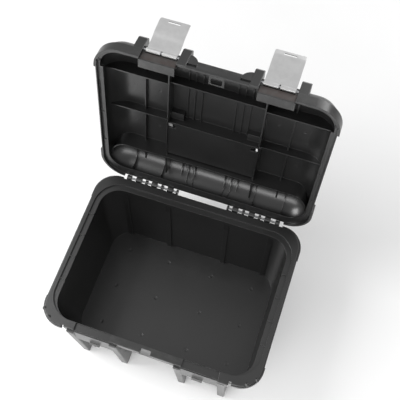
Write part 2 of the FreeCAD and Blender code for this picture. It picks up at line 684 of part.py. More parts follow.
def skirt_room():
    """The skirt is thin where it passes the rim's lip."""
    return slab(
        LID_HALF - SKIRT_T, LID_FRONT + SKIRT_T, LID_BACK - SKIRT_T, 0, LID_BASE, LID_CORNER - SKIRT_T
    )


def handle_pin_bores():
    reach = POCKET_HALF + POCKET_WALL + 1.0
    bore = cylinder_x(POCKET_HALF - 1.0, reach, HANDLE_Y, HANDLE_Z, HANDLE_PIN_R + PIN_CLEARANCE)
    return [bore, bore.mirror(V(0, 0, 0), V(1, 0, 0))]


def make_lid():
    outer = fuse([dome(0.0, SKIRT_BASE), centre_lip()] + both_sides(ears()))
    raised = box(-EAR_OUTER[1], EAR_OUTER[1], -FAR, LID_BUMPER_FRONT_END, 0, FRONT_EDGE_Z)
    hinge_room = box(-NOTCH_HALF, NOTCH_HALF, FLANGE_REAR, FAR, 0, LID_BASE)
    rooms = both_sides([latch_room()])
    shell = cut(outer, [dome(LID_WALL, SKIRT_BASE - 1.0), skirt_room(), raised, hinge_room] + rooms)
    feet = both_sides([latch_foot(), latch_wall()])
    half = PADLOCK_WIDTH / 2.0 + 3.5
    eye = box(-half, half, LID_FRONT + 1.0, MOUTH_FRONT - 3.0, FRONT_EDGE_Z, FRONT_EDGE_Z + FLANGE)
    inside = [pocket_box()] + pivot_housings() + inner_ribs()
    lid = fuse([shell, lid_flange(), eye] + lid_bumpers() + feet + inside)
    slot = padlock_hole(TUB_HEIGHT, FRONT_EDGE_Z + 8.0, PADLOCK_Y, PADLOCK_DEPTH + 1.0)
    pip_rooms = both_sides(pips(PIP_R + 0.5, PIP_RISE + 0.5))
    lid = cut(lid, [pocket_void(), slot] + pip_rooms)
    arm = (HINGE_EDGE - 8.0, HINGE_Y, AXIS_Z, LID_BASE + 1.0)
    clear = both_sides([box(HINGE_INNER - 1.0, HINGE_OUTER + 1.0, 0, HINGE_EDGE + 1.5, 0, LID_BASE)])
    knuckles = both_sides(hinge_row(LID_KNUCKLES, arm))
    lid = fuse([lid] + [cut(k, clear) for k in knuckles])
    return cut(lid, pin_bores() + latch_bores() + handle_pin_bores())


# ================================================================ latch
def latch_strip():
    """Side view of the plate, hanging shut: (out from the barrel, down from the pivot)."""
    lower = LATCH_LENGTH / 71.0
    return (
        (-2.6, 2.4),
        (-1.2, 10.0),
        (-1.8, 26.0),
        (-6.0, 39.0 * lower),
        (-6.0, 53.0 * lower),
        (-7.2, LATCH_LENGTH - 11.0),
        (-5.2, LATCH_LENGTH),
    )


def make_latch():
    """One right-hand latch, drawn shut."""
    path = latch_strip()
    front = [(PIVOT_Y - BARREL_R + 1.2 - out, PIVOT_Z - down) for out, down in path]
    back = [(y + LATCH_T, z) for y, z in reversed(front)]
    plate = extrude_profile(front + back, LATCH_INNER, LATCH_OUTER)
    barrel = cylinder_x(LATCH_INNER, LATCH_OUTER, PIVOT_Y, PIVOT_Z, BARREL_R)
    slot = box(LATCH_MIDDLE - SLOT_WIDTH / 2.0, LATCH_MIDDLE + SLOT_WIDTH / 2.0, -300, 0,
               PIVOT_Z - SLOT_AT - SLOT_HEIGHT / 2.0, PIVOT_Z - SLOT_AT + SLOT_HEIGHT / 2.0)
    notch = box(LATCH_MIDDLE - NOTCH_WIDTH / 2.0, LATCH_MIDDLE + NOTCH_WIDTH / 2.0, -300, 0,
                PIVOT_Z - 6.0, PIVOT_Z + 10.0)
    bore = cylinder_x(LATCH_INNER - 1.0, LATCH_OUTER + 1.0, PIVOT_Y, PIVOT_Z, PIN_R + PIN_CLEARANCE)
    return cut(fuse([plate, barrel]), [slot, notch, bore])


def make_latch_mount():
    """Dark insert behind the latch, on the recess wall and the foot."""
    x0 = EAR_INNER[1] + MOUNT_PLAY
    x1 = EAR_OUTER[0] - MOUNT_PLAY
    return box(x0, x1, RECESS_Y - MOUNT_T, RECESS_Y, FOOT_Z + FLANGE, PIVOT_Z - BARREL_R - 1.5)


# ================================================================ handle
def make_handle():
    """The handle folded into its pocket, as one moulding without its grip."""
    half = HANDLE_HALF
    far = HANDLE_Y + HANDLE_REACH
    arms = []
    for side in (-1, 1):
        x0, x1 = sorted((side * half, side * (half - ARM_WIDTH)))
        arms.append(box(x0, x1, HANDLE_Y, far, HANDLE_Z - ARM_DEPTH / 2.0, HANDLE_Z + ARM_DEPTH / 2.0))
        arms.append(cylinder_x(x0, x1, HANDLE_Y, HANDLE_Z, ARM_DEPTH / 2.0))
    bar = box(-half, half, far - BAR_WIDTH / 2.0, far + BAR_WIDTH / 2.0,
              HANDLE_Z - BAR_DEPTH / 2.0, HANDLE_Z + BAR_DEPTH / 2.0)
    long_edges = [e for e in bar.Edges if e.BoundBox.XLength > half]
    bar = bar.makeFillet(5.0, long_edges)
    waist = bar.common(box(-GRIP_HALF, GRIP_HALF, -300, 300, 0, 400))
    core = box(-GRIP_HALF, GRIP_HALF, far - BAR_WIDTH / 2.0 + GRIP_SKIN, far + BAR_WIDTH / 2.0 - GRIP_SKIN,
               HANDLE_Z - BAR_DEPTH / 2.0 + GRIP_SKIN, HANDLE_Z + BAR_DEPTH / 2.0 - GRIP_SKIN)
    core = core.makeFillet(3.4, [e for e in core.Edges if e.BoundBox.XLength > GRIP_HALF])
    grip = waist.cut(core)
    bore = cylinder_x(-half - 1.0, half + 1.0, HANDLE_Y, HANDLE_Z, HANDLE_PIN_R + PIN_CLEARANCE)
    bare = fuse([bar.cut(waist), core] + arms)
    return bare.cut(bore), grip


def make_handle_pin():
    """A headed pin from the pocket's side wall into the end of the handle's arm."""
    start = HANDLE_HALF - ARM_WIDTH + 1.0
    shank = cylinder_x(start, POCKET_HALF + POCKET_WALL + 1.0, HANDLE_Y, HANDLE_Z, HANDLE_PIN_R)
    x0 = (HANDLE_HALF + POCKET_HALF - PIN_HEAD) / 2.0
    return shank.fuse(cylinder_x(x0, x0 + PIN_HEAD, HANDLE_Y, HANDLE_Z, PIN_HEAD_R))


# ================================================================ assembly
HINGE_POINT = V(0, HINGE_Y, AXIS_Z)
ALONG_X = V(1, 0, 0)


def turned(shape, point, degrees):
    copy = shape.copy()
    copy.rotate(point, ALONG_X, degrees)
    return copy


def opened(shape):
    return turned(shape, HINGE_POINT, -OPEN_ANGLE)


def mirrored(shape):
    return shape.mirror(V(0, 0, 0), ALONG_X)


def pair(name, right, move):
    return {name + "_right": move(right), name + "_left": move(mirrored(right))}


def build():
    pivot = V(0, PIVOT_Y, PIVOT_Z)
    handle_axis = V(0, HANDLE_Y, HANDLE_Z)
    bar, grip = make_handle()
    nodes = {"tub": make_tub(), "lid": opened(make_lid())}
    hinge_pin = cylinder_x(HINGE_INNER, HINGE_OUTER, HINGE_Y, AXIS_Z, PIN_R)
    latch_pin = cylinder_x(EAR_INNER[1] - 8.0, EAR_OUTER[0] + 8.0, PIVOT_Y, PIVOT_Z, PIN_R)
    nodes.update(pair("hinge_pin", hinge_pin, lambda s: s))
    nodes.update(pair("latch_pin", latch_pin, opened))
    nodes.update(pair("latch_mount", make_latch_mount(), opened))
    nodes.update(pair("latch_plate", make_latch(), lambda s: opened(turned(s, pivot, -LATCH_ANGLE))))
    nodes["handle_bar"] = opened(turned(bar, handle_axis, HANDLE_OUT))
    nodes["handle_grip"] = opened(turned(grip, handle_axis, HANDLE_OUT))
    nodes.update(pair("handle_pin", make_handle_pin(), opened))
    return nodes


def export(nodes):
    os.makedirs("parts", exist_ok=True)
    for name, shape in sorted(nodes.items()):
        size = shape.BoundBox
        print(f"{name}: {len(shape.Solids)} solid(s), valid {shape.isValid()}, {shape.Volume / 1000.0:.1f} cm3")
        print(f"    {size.XLength:.0f} x {size.YLength:.0f} x {size.ZLength:.0f} mm")
        shape.exportStep(f"parts/{name}.step")


export(build())
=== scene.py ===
# %% [markdown]
# # A moulded toolbox, standing open
# The box is injection-moulded polypropylene, with pressed-steel latches and steel wire pins. The moulded
# bodies come in finished from the CAD frame, at their real size and place. What this file adds is what
# makes them look real: how each surface was made, rounded edges, pressed and rolled sheet metal, and soft
# studio light.

# %% Load the frame
import json
import math

import bmesh
import bpy
from mathutils import Matrix, Vector


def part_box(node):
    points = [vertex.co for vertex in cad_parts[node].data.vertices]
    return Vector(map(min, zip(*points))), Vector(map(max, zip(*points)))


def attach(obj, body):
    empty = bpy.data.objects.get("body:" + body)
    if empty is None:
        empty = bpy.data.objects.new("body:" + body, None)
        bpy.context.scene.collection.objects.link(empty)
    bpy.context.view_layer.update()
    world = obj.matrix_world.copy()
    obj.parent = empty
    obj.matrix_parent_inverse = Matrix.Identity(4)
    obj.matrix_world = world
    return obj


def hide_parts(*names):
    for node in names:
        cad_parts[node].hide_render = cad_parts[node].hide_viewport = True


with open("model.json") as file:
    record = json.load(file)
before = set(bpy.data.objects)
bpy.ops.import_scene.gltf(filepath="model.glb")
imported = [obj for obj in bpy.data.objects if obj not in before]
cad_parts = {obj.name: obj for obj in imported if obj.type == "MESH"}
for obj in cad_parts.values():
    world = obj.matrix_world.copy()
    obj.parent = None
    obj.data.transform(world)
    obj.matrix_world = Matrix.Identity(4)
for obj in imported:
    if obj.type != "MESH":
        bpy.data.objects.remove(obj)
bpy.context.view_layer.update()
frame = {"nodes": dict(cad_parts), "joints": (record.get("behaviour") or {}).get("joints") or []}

MM = 0.001
NODES = frame["nodes"]
JOINTS = {joint["name"]: joint for joint in frame["joints"]}

# %% [markdown]
# ## Measures
# The lid is drawn open, so nothing on it lies square to the world. Its hinge in the frame tells how it lies:
# where the axis is, and how far the lid can close. One matrix then takes a point of the shut lid, where
# heights and depths are easy to think about, to its place on the open one.

# %% The open lid
HINGE = Vector(JOINTS["lid_hinge"]["pos_m"])
OPEN_ANGLE = math.radians(max(JOINTS["lid_hinge"]["range_deg"]))
OPENED = Matrix.Translation(HINGE) @ Matrix.Rotation(-OPEN_ANGLE, 4, "X") @ Matrix.Translation(-HINGE)

# Measures of the shut lid, in millimetres
RIM_OVER_HINGE_MM = 5.8
RIM_Z = HINGE.z + RIM_OVER_HINGE_MM * MM
BACK_BEFORE_HINGE_MM = 0.8
LID_BACK_MM = HINGE.y / MM - BACK_BEFORE_HINGE_MM
LID_FRONT_MM = -171.0
LID_HALF_MM = 213.0
LID_RISE_MM = 49.5
LID_TOP_MM = RIM_Z / MM + LID_RISE_MM
LID_WALL_MM = 3.5
PANEL_MM = LID_TOP_MM - LID_WALL_MM     # the underside of the lid's panel
DOME_MM = 40.5           # inside radius where the panel rounds over into the walls

print(f"lid stands open {math.degrees(OPEN_ANGLE):.1f} degrees about y {HINGE.y:.4f}, z {HINGE.z:.4f}")

# %% [markdown]
# ## Colour and nodes
# A maker's colour chart gives sRGB hex values, while a renderer adds light in linear values, so one function
# turns the first into the second. One more function adds a shader node with its settings and its links,
# which keeps each material short enough to read.


# %% Colour and node helpers
def linear(hex_colour):
    """sRGB hex to linear RGBA."""
    parts = [int(hex_colour[i:i + 2], 16) / 255.0 for i in (1, 3, 5)]
    return [c / 12.92 if c <= 0.04045 else ((c + 0.055) / 1.055) ** 2.4 for c in parts] + [1.0]


def add_node(tree, kind, settings=None, inputs=None):
    """A node of this kind. An input is a plain value, or a socket to link from."""
    node = tree.nodes.new(kind)
    for name, value in (settings or {}).items():
        setattr(node, name, value)
    for name, value in (inputs or {}).items():
        if isinstance(value, bpy.types.NodeSocket):
            tree.links.new(value, node.inputs[name])
        else:
            node.inputs[name].default_value = value
    return node


def new_material(name, **shader_values):
    """A material with only its shader and output; returns it, its tree and the shader."""
    material = bpy.data.materials.new(name)
    material.use_nodes = True
    tree = material.node_tree
    tree.nodes.clear()
    shader = add_node(tree, "ShaderNodeBsdfPrincipled", inputs=shader_values)
    add_node(tree, "ShaderNodeOutputMaterial", inputs={"Surface": shader.outputs[0]})
    return material, tree, shader


def ramp(tree, factor, stops):
    """A colour ramp through (position, RGBA) stops."""
    node = add_node(tree, "ShaderNodeValToRGB", inputs={"Fac": factor})
    elements = node.color_ramp.elements
    elements[0].position, elements[0].color = stops[0]
    elements[1].position, elements[1].color = stops[-1]
    for position, colour in stops[1:-1]:
        elements.new(position).color = colour
    return node.outputs["Color"]


def noise(tree, position, size_mm, detail=2.0, roughness=0.5):
    """Noise whose features are about size_mm across."""
    values = {"Vector": position, "Scale": 1000.0 / size_mm, "Detail": detail, "Roughness": roughness}
    return add_node(tree, "ShaderNodeTexNoise", inputs=values).outputs["Fac"]


# %% [markdown]
# ## Spark-eroded polypropylene
# The tub and lid are black polypropylene, moulded in a steel tool whose walls were spark-eroded to a fine
# matt grain. The grain scatters the highlight, so the plastic looks grey where light grazes it. Handling
# rubs the edges a little paler, and the gloss wanders where the melt cooled at different speeds. The edges
# of a moulding are never sharp: they are shaded here as if the tool left 0.8 mm of radius on them, which
# catches a thin line of light. The grain of a real tool is about 0.3 mm across, too fine for the render, so
# it is drawn at a little over twice that.

# %% Moulded plastic
PP_IOR = 1.49
GRAIN_MM = 0.7
EDGE_RADIUS_MM = 0.8
MOTTLE_MM = 110.0
HAZE_MM = 60.0
SCUFF_MM = 14.0


def moulded_plastic(name, dark, light, roughness=(0.29, 0.34), grain=0.08, wear="#3a3a39", gloss=0.9):
    """Dark moulded plastic with grain, a faint mottle, and paler rubbed edges."""
    material, tree, shader = new_material(name, **{"IOR": PP_IOR, "Specular IOR Level": gloss})
    place = add_node(tree, "ShaderNodeTexCoord").outputs["Object"]
    mottle = noise(tree, place, MOTTLE_MM, 3.0, 0.5)
    body = ramp(tree, mottle, [(0.25, linear(dark)), (0.75, linear(light))])
    edge = add_node(tree, "ShaderNodeNewGeometry").outputs["Pointiness"]
    rubbed = ramp(tree, edge, [(0.53, (0, 0, 0, 1)), (0.62, (1, 1, 1, 1))])
    scuffs = noise(tree, place, SCUFF_MM, 4.0, 0.6)
    scuffed = ramp(tree, scuffs, [(0.45, (0, 0, 0, 1)), (0.8, (1, 1, 1, 1))])
    where = add_node(tree, "ShaderNodeMath", {"operation": "MULTIPLY"}, {0: rubbed, 1: scuffed})
    worn = add_node(tree, "ShaderNodeMix", {"data_type": "RGBA"})
    tree.links.new(where.outputs[0], worn.inputs[0])
    tree.links.new(body, worn.inputs[6])
    worn.inputs[7].default_value = linear(wear)
    tree.links.new(worn.outputs[2], shader.inputs["Base Color"])
    haze = add_node(tree, "ShaderNodeMapRange", inputs={
        "Value": noise(tree, place, HAZE_MM, 3.0, 0.5),
        "From Min": 0.3, "From Max": 0.7, "To Min": roughness[0], "To Max": roughness[1]})
    tree.links.new(haze.outputs[0], shader.inputs["Roughness"])
    rounded = add_node(tree, "ShaderNodeBevel", {"samples": 6}, {"Radius": EDGE_RADIUS_MM * MM})
    bump = add_node(tree, "ShaderNodeBump", inputs={
        "Strength": grain, "Distance": 0.2 * MM, "Height": noise(tree, place, GRAIN_MM, 1.0),
        "Normal": rounded.outputs[0]})
    tree.links.new(bump.outputs[0], shader.inputs["Normal"])
    return material


tub_plastic = moulded_plastic("polypropylene_tub_spark_eroded", "#171717", "#1c1c1c")
lid_plastic = moulded_plastic("polypropylene_lid_spark_eroded", "#181818", "#1d1d1d")
# The latch mounts' warm dark brown is painted shade with a painted warm reflection, not a colour the plastic
# has.
mount_painted_shade_plastic = moulded_plastic(
    "polypropylene_mount_smooth_painted_warm_shade", "#2a1f1c", "#32241f", roughness=(0.38, 0.44), grain=0.04)
handle_plastic = moulded_plastic("polypropylene_handle_spark_eroded", "#181818", "#1d1d1d")
print("moulded plastics:", len(bpy.data.materials))

# %% [markdown]
# ## Silver-lacquered pressed steel
# The latches are cut from thin steel strip, pressed, rolled at one end round their pin, and lacquered in
# satin silver. Aluminium flakes in the lacquer make it part metal, part paint, and faint lines from the
# rolling of the strip run across each latch. Pins are bare drawn wire, whose lines run along the wire.


# %% Lacquered and drawn steel
CLOUD_MM = 18.0


def lined_steel(name, dark, light, roughness, line_mm, stretch, metallic=1.0):
    """Steel with fine lines along X, longer where stretch is smaller; metallic below 1 is lacquer."""
    material, tree, shader = new_material(name, Metallic=metallic)
    place = add_node(tree, "ShaderNodeTexCoord").outputs["Object"]
    scaled = {"Vector": place, "Scale": (stretch, 1.0, 1.0)}
    drawn_out = add_node(tree, "ShaderNodeMapping", inputs=scaled).outputs[0]
    lines = noise(tree, drawn_out, line_mm, 3.0, 0.6)
    cloud = noise(tree, place, CLOUD_MM, 3.0, 0.6)
    tone = ramp(tree, cloud, [(0.3, linear(dark)), (0.7, linear(light))])
    tree.links.new(tone, shader.inputs["Base Color"])
    gloss = add_node(tree, "ShaderNodeMapRange", inputs={
        "Value": lines, "From Min": 0.3, "From Max": 0.7, "To Min": roughness[0], "To Max": roughness[1]})
    tree.links.new(gloss.outputs[0], shader.inputs["Roughness"])
    relief = {"Strength": 0.12, "Distance": 0.05 * MM, "Height": lines}
    bump = add_node(tree, "ShaderNodeBump", inputs=relief)
    tree.links.new(bump.outputs[0], shader.inputs["Normal"])
    return material


latch_silver = lined_steel(
    "silver_lacquer_on_pressed_steel", "#cacaca", "#d6d6d6",
    roughness=(0.28, 0.38), line_mm=0.8, stretch=0.08, metallic=0.75)
pin_steel = lined_steel(
    "drawn_steel_wire", "#a9aaac", "#c2c3c5", roughness=(0.24, 0.36), line_mm=0.5, stretch=0.05)
print("metals:", latch_silver.name, pin_steel.name)

# %% [markdown]
# ## Soft-touch grip
# The middle of the handle is a moulded-over thermoplastic elastomer: softer and more matt than the
# polypropylene, with a stronger grain.

# %% Elastomer
grip_rubber = moulded_plastic(
    "elastomer_grip_matt", "#1e1e1e", "#262626",
    roughness=(0.62, 0.74), grain=0.22, wear="#303030", gloss=0.5)


# %% Give the CAD nodes their materials
def wear_material(node, material):
    """Puts one material on every slot of a CAD node."""
    slots = NODES[node].material_slots
    if not slots:
        NODES[node].data.materials.append(material)
    for slot in slots:
        slot.material = material


FINISH = {
    "tub": tub_plastic,
    "lid": lid_plastic,
    "latch_mount_left": mount_painted_shade_plastic,
    "latch_mount_right": mount_painted_shade_plastic,
    "handle_bar": handle_plastic,
    "handle_grip": grip_rubber,
}
for node in NODES:
    bright = latch_silver if node.startswith("latch_plate") else pin_steel
    wear_material(node, FINISH.get(node, bright))

# %% [markdown]
# ## Pieces made here
# Each new piece is drawn where it is easiest to measure, with the lid shut, the latch shut and the handle
# folded. Its rest matrix then carries it to where the frame holds it. The matrices come from the joints, so
# the pieces line up with the bodies they ride on.

# %% Rest matrices and piece helpers
SMOOTH_ANGLE = math.radians(38.0)


def turn_about(point, degrees):
    """Rotation about an axis along X through a point."""
    away = Matrix.Translation(-point)
    return Matrix.Translation(point) @ Matrix.Rotation(math.radians(degrees), 4, "X") @ away


def shut_pivot(joint):
    """A lid joint's place with the lid shut."""
    return OPENED.inverted() @ Vector(JOINTS[joint]["pos_m"])


LATCH_PIVOT = {side: shut_pivot(f"latch_{side}_pivot") for side in ("left", "right")}
HANDLE_PIVOT = shut_pivot("handle_pivot")
# Both latches turn about one line, so one matrix serves the two
LATCH_REST = OPENED @ turn_about(LATCH_PIVOT["right"], -max(JOINTS["latch_right_pivot"]["range_deg"]))
HANDLE_REST = OPENED @ turn_about(HANDLE_PIVOT, -min(JOINTS["handle_pivot"]["range_deg"]))


def add_piece(name, shape, matrix, body, material, replaced=()):
    """Turns a bmesh into a smooth-shaded piece in its place, riding on its body."""
    bmesh.ops.transform(shape, matrix=matrix, verts=shape.verts)
    bmesh.ops.recalc_face_normals(shape, faces=shape.faces)
    mesh = bpy.data.meshes.new(name)
    shape.to_mesh(mesh)
    shape.free()
    mesh.polygons.foreach_set("use_smooth", [True] * len(mesh.polygons))
    mesh.set_sharp_from_angle(angle=SMOOTH_ANGLE)
    mesh.materials.append(material)
    piece = bpy.data.objects.new(name, mesh)
    bpy.context.scene.collection.objects.link(piece)
    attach(piece, body)
    if replaced:
        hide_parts(*replaced)
    return piece


def skin(shape, rings, closed=False):
    """Faces between one ring of vertices and the next; closed joins the last ring to the first."""
    pairs = list(zip(rings, rings[1:])) + ([(rings[-1], rings[0])] if closed else [])
    for one, two in pairs:
        count = len(one)
        for i in range(count):
            j = (i + 1) % count
            shape.faces.new((one[i], one[j], two[j], two[i]))


def lathe_x(shape, outline, middle, closed=False, steps=48):
    """A solid of revolution about X through middle, from (x, radius) points in millimetres."""
    rings = []
    for x, radius in outline:
        ring = []
        for i in range(steps):
            angle = 2.0 * math.pi * i / steps
            spoke = Vector((x, radius * math.cos(angle), radius * math.sin(angle)))
            ring.append(shape.verts.new(middle + spoke * MM))
        rings.append(ring)
    skin(shape, rings, closed)
    if not closed:
        shape.faces.new(rings[0])
        shape.faces.new(rings[-1])


print("latch pivot, lid shut:", [round(v / MM, 1) for v in LATCH_PIVOT["right"]])

# %% [markdown]
# ### Latch plates
# A latch starts as flat strip. A press folds it so that it steps in below the rim, and lifts the tip so that
# a finger can get behind it. A slot near the tip snaps over the tub's tooth, and the other end is rolled
# round the pin, with a gap in the middle of the roll.

# %% Pressed latches
SHEET_MM = 1.6
LATCH_HALF_MM = 27.15
LATCH_CORNER_MM = 3.0
EYE_MM = 3.25            # middle of the sheet to the pin's axis
SLOT_HALF_MM = 10.5
SLOT_ROWS_MM = (-66.0, -62.0)
GAP_HALF_MM = 1.5
GAP_FROM_MM = -6.0
# The folds from the tip up to the roll, as (y, z) from the pin with the latch shut
FOLDS_MM = [
    (3.0, -71.0), (5.2, -60.0), (4.0, -53.0), (4.0, -39.0),
    (-0.4, -26.0), (-0.9, -10.0), (-3.1, -3.5)]
# Lines that run from tip to roll, from the sheet's edge inwards; each is drawn on the left and the right
ACROSS_MM = (LATCH_HALF_MM, 26.2, 24.5, 20.0, SLOT_HALF_MM, 6.0, GAP_HALF_MM)
BEND_ROUNDS = 2
BEND_CUT = 0.22          # share of a stretch that is cut off at each of its ends
ROLL_STEPS = 30
ROLL_STEP_DEG = 10.0
CUT_EDGE_MM = 0.4


def between(start, end, share):
    """The point that lies this share of the way from start to end."""
    return tuple((1.0 - share) * a + share * b for a, b in zip(start, end))


def eased(points):
    """Cuts the corners of a line of points, so that its folds become bends."""
    for _ in range(BEND_ROUNDS):
        cut = [points[0]]
        for start, end in zip(points, points[1:]):
            cut += [between(start, end, BEND_CUT), between(start, end, 1.0 - BEND_CUT)]
        points = cut + [points[-1]]
    return points


def sheet_line():
    """The middle of the sheet seen from the side, from the tip up to the end of the roll, as (y, z)."""
    bends = eased(FOLDS_MM)
    rows = sorted({z for _, z in bends} | set(SLOT_ROWS_MM) | {GAP_FROM_MM})
    line = []
    for z in rows:
        above = next(i for i, point in enumerate(bends) if point[1] >= z - 1e-9)
        (y0, z0), (y1, z1) = bends[max(above - 1, 0)], bends[above]
        share = (z - z0) / (z1 - z0) if z1 > z0 else 0.0
        line.append((y0 + share * (y1 - y0), z))
    for i in range(ROLL_STEPS):
        angle = math.radians(180.0 - ROLL_STEP_DEG * i)
        line.append((EYE_MM * math.cos(angle), EYE_MM * math.sin(angle)))
    return line


def latch_sheet(line):
    """The sheet as one face thick, with its slot and gap left out and its tip's corners rounded."""
    across = sorted({sign * x for sign in (-1, 1) for x in ACROSS_MM})
    shape = bmesh.new()
    rows = []
    for y, z in line:
        from_tip = z - line[0][1]
        inset = 0.0
        if from_tip < LATCH_CORNER_MM:
            inset = LATCH_CORNER_MM - math.sqrt(LATCH_CORNER_MM ** 2 - (LATCH_CORNER_MM - from_tip) ** 2)
        narrow = 1.0 - inset / LATCH_HALF_MM
        rows.append([shape.verts.new(Vector((x * narrow, y, z)) * MM) for x in across])
    rolled = len(line) - ROLL_STEPS
    for r in range(len(line) - 1):
        middle = (line[r][1] + line[r + 1][1]) / 2.0
        for c in range(len(across) - 1):
            x = abs(across[c] + across[c + 1]) / 2.0
            in_slot = x < SLOT_HALF_MM and SLOT_ROWS_MM[0] < middle < SLOT_ROWS_MM[1] and r < rolled
            in_gap = x < GAP_HALF_MM and (middle > GAP_FROM_MM or r >= rolled)
            if not in_slot and not in_gap:
                shape.faces.new((rows[r][c], rows[r][c + 1], rows[r + 1][c + 1], rows[r + 1][c]))
    bmesh.ops.delete(shape, geom=[v for v in shape.verts if not v.link_faces], context="VERTS")
    return shape


def add_latch(side):
    """One latch plate, thickened from its sheet, in place of the CAD plate."""
    shape = latch_sheet(sheet_line())
    matrix = LATCH_REST @ Matrix.Translation(LATCH_PIVOT[side])
    name = f"latch_{side}"
    plate = [f"latch_plate_{side}"]
    piece = add_piece(f"{name}_pressed", shape, matrix, name, latch_silver, plate)
    thick = piece.modifiers.new("thickness", "SOLIDIFY")
    thick.thickness = SHEET_MM * MM
    thick.offset = 0.0
    edges = piece.modifiers.new("rolled_edges", "BEVEL")
    edges.width = CUT_EDGE_MM * MM
    edges.segments = 3
    edges.limit_method = "ANGLE"
    edges.angle_limit = math.radians(50.0)
    even = piece.modifiers.new("even_shading", "WEIGHTED_NORMAL")
    even.keep_sharp = False
    return piece


for side in ("left", "right"):
    low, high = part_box(f"latch_plate_{side}")
    print(side, "latch:", add_latch(side).name, "for a plate", round((high[0] - low[0]) / MM, 1), "mm wide")

# %% [markdown]
# ### Handle
# The handle is one moulding: two arms with eyes for their pins, swept round soft corners into the bar. The
# grip is moulded over the bar in a second shot of softer material, with bands that stand proud of it.

# %% Handle sections
ARM_X_MM = 76.0
REACH_MM = 66.0
ARM_MM = (10.0, 10.0)
BAR_MM = (19.0, 11.0)
CORNER_MM = 14.0
GRIP_HALF_MM = 46.0
GRIP_SKIN_MM = 1.4
GRIP_RINGS = 129
GRIP_END_MM = 2.0        # the bands fade out over this much at each end
BAND_MM = 5.75
BAND_PROUD_MM = 0.7
BAND_STEEPNESS = 1.6
ROUNDNESS = 0.5          # 1 is an ellipse, less is squarer
CORNER_STEPS = 12
# Along an arm, as (distance from the pin, depth)
ARM_ROWS_MM = ((3.2, 8.0), (4.2, 9.2), (6.0, 10.0), (20.0, 10.0), (REACH_MM - CORNER_MM - 6.0, 10.0))
# Round an eye's section, as (x from the arm's middle, radius from the pin)
EYE_SECTION_MM = [
    (-4.4, 2.6), (-5.0, 3.1), (-5.0, 4.4), (-4.4, 5.0),
    (4.4, 5.0), (5.0, 4.4), (5.0, 3.1), (4.4, 2.6)]


def section(shape, middle, inward, width, depth, steps=40):
    """A soft rectangle across the sweep: width along inward, depth along Z."""
    ring = []
    for i in range(steps):
        angle = 2.0 * math.pi * i / steps
        c, s = math.cos(angle), math.sin(angle)
        u = math.copysign(abs(c) ** ROUNDNESS, c) * width / 2.0
        v = math.copysign(abs(s) ** ROUNDNESS, s) * depth / 2.0
        ring.append(shape.verts.new((middle + inward * u + Vector((0, 0, v))) * MM))
    return ring


def handle_stations():
    """Along the right-hand half: (place, inward direction, width, depth), from the eye to the grip."""
    made = []
    for y, depth in ARM_ROWS_MM:
        made.append((Vector((ARM_X_MM, y, 0)), Vector((-1, 0, 0)), ARM_MM[0], depth))
    centre = Vector((ARM_X_MM - CORNER_MM, REACH_MM - CORNER_MM, 0))
    for i in range(CORNER_STEPS + 1):
        grown = i / CORNER_STEPS
        angle = math.radians(90.0 * grown)
        out = Vector((math.cos(angle), math.sin(angle), 0))
        width = ARM_MM[0] + (BAR_MM[0] - ARM_MM[0]) * grown * grown * (3.0 - 2.0 * grown)
        depth = ARM_MM[1] + (BAR_MM[1] - ARM_MM[1]) * grown
        made.append((centre + out * CORNER_MM, -out, width, depth))
    made.append((Vector((GRIP_HALF_MM + 4.0, REACH_MM, 0)), Vector((0, -1, 0)), *BAR_MM))
    made.append((Vector((GRIP_HALF_MM + 0.4, REACH_MM, 0)), Vector((0, -1, 0)), *BAR_MM))
    skinned = [size - 2.0 * GRIP_SKIN_MM for size in BAR_MM]
    made.append((Vector((GRIP_HALF_MM, REACH_MM, 0)), Vector((0, -1, 0)), *skinned))
    return made


def handle_moulding():
    """Both arms, the bar between them and the two eyes, as one mesh."""
    shape = bmesh.new()
    right = handle_stations()
    left = [(Vector((-p.x, p.y, 0)), Vector((-d.x, d.y, 0)), w, h) for p, d, w, h in reversed(right)]
    rings = [section(shape, *station) for station in right]
    for place, inward, width, depth in left:
        rings.append(section(shape, place, inward, width, depth))
    skin(shape, rings)
    shape.faces.new(rings[0])
    shape.faces.new(rings[-1])
    for x in (-ARM_X_MM, ARM_X_MM):
        lathe_x(shape, EYE_SECTION_MM, Vector((x, 0, 0)) * MM, closed=True)
    return shape


def grip_moulding():
    """The over-moulded sleeve, drawn as rings whose size rises and falls with the bands."""
    shape = bmesh.new()
    rings = []
    for i in range(GRIP_RINGS):
        x = GRIP_HALF_MM * (1.0 - 2.0 * i / (GRIP_RINGS - 1))
        wave = math.cos(2.0 * math.pi * x / BAND_MM)
        end = min(1.0, (GRIP_HALF_MM - abs(x)) / GRIP_END_MM)
        proud = 2.0 * BAND_PROUD_MM * max(0.0, min(1.0, 0.5 + BAND_STEEPNESS * wave)) * end
        width, depth = (size + proud - 0.5 * (1.0 - end) for size in BAR_MM)
        rings.append(section(shape, Vector((x, REACH_MM, 0)), Vector((0, -1, 0)), width, depth))
    skin(shape, rings)
    shape.faces.new(rings[0])
    shape.faces.new(rings[-1])
    return shape


# %% Place the handle
folded = HANDLE_REST @ Matrix.Translation(HANDLE_PIVOT)
add_piece(
    "handle_moulding", handle_moulding(), folded, "handle", handle_plastic, ["handle_bar"])
add_piece(
    "handle_sleeve", grip_moulding(), folded, "handle", grip_rubber, ["handle_grip"])
print("handle pivot, lid shut:", [round(v / MM, 1) for v in HANDLE_PIVOT])

# %% [markdown]
# ### Pins
# Wire pins are sheared off and their ends tumbled, which leaves a small chamfer. The handle's two pins have
# a rolled collar that stops them falling out of the lid.

# %% Wire pins
PIN_RADIUS_MM = 2.0
HANDLE_PIN_RADIUS_MM = 2.5
COLLAR_X_MM = 83.5       # the lid's middle to the middle of a collar
COLLAR_HALF_MM = 2.0
COLLAR_RADIUS_MM = 4.6
COLLAR_CHAMFER_MM = 0.6


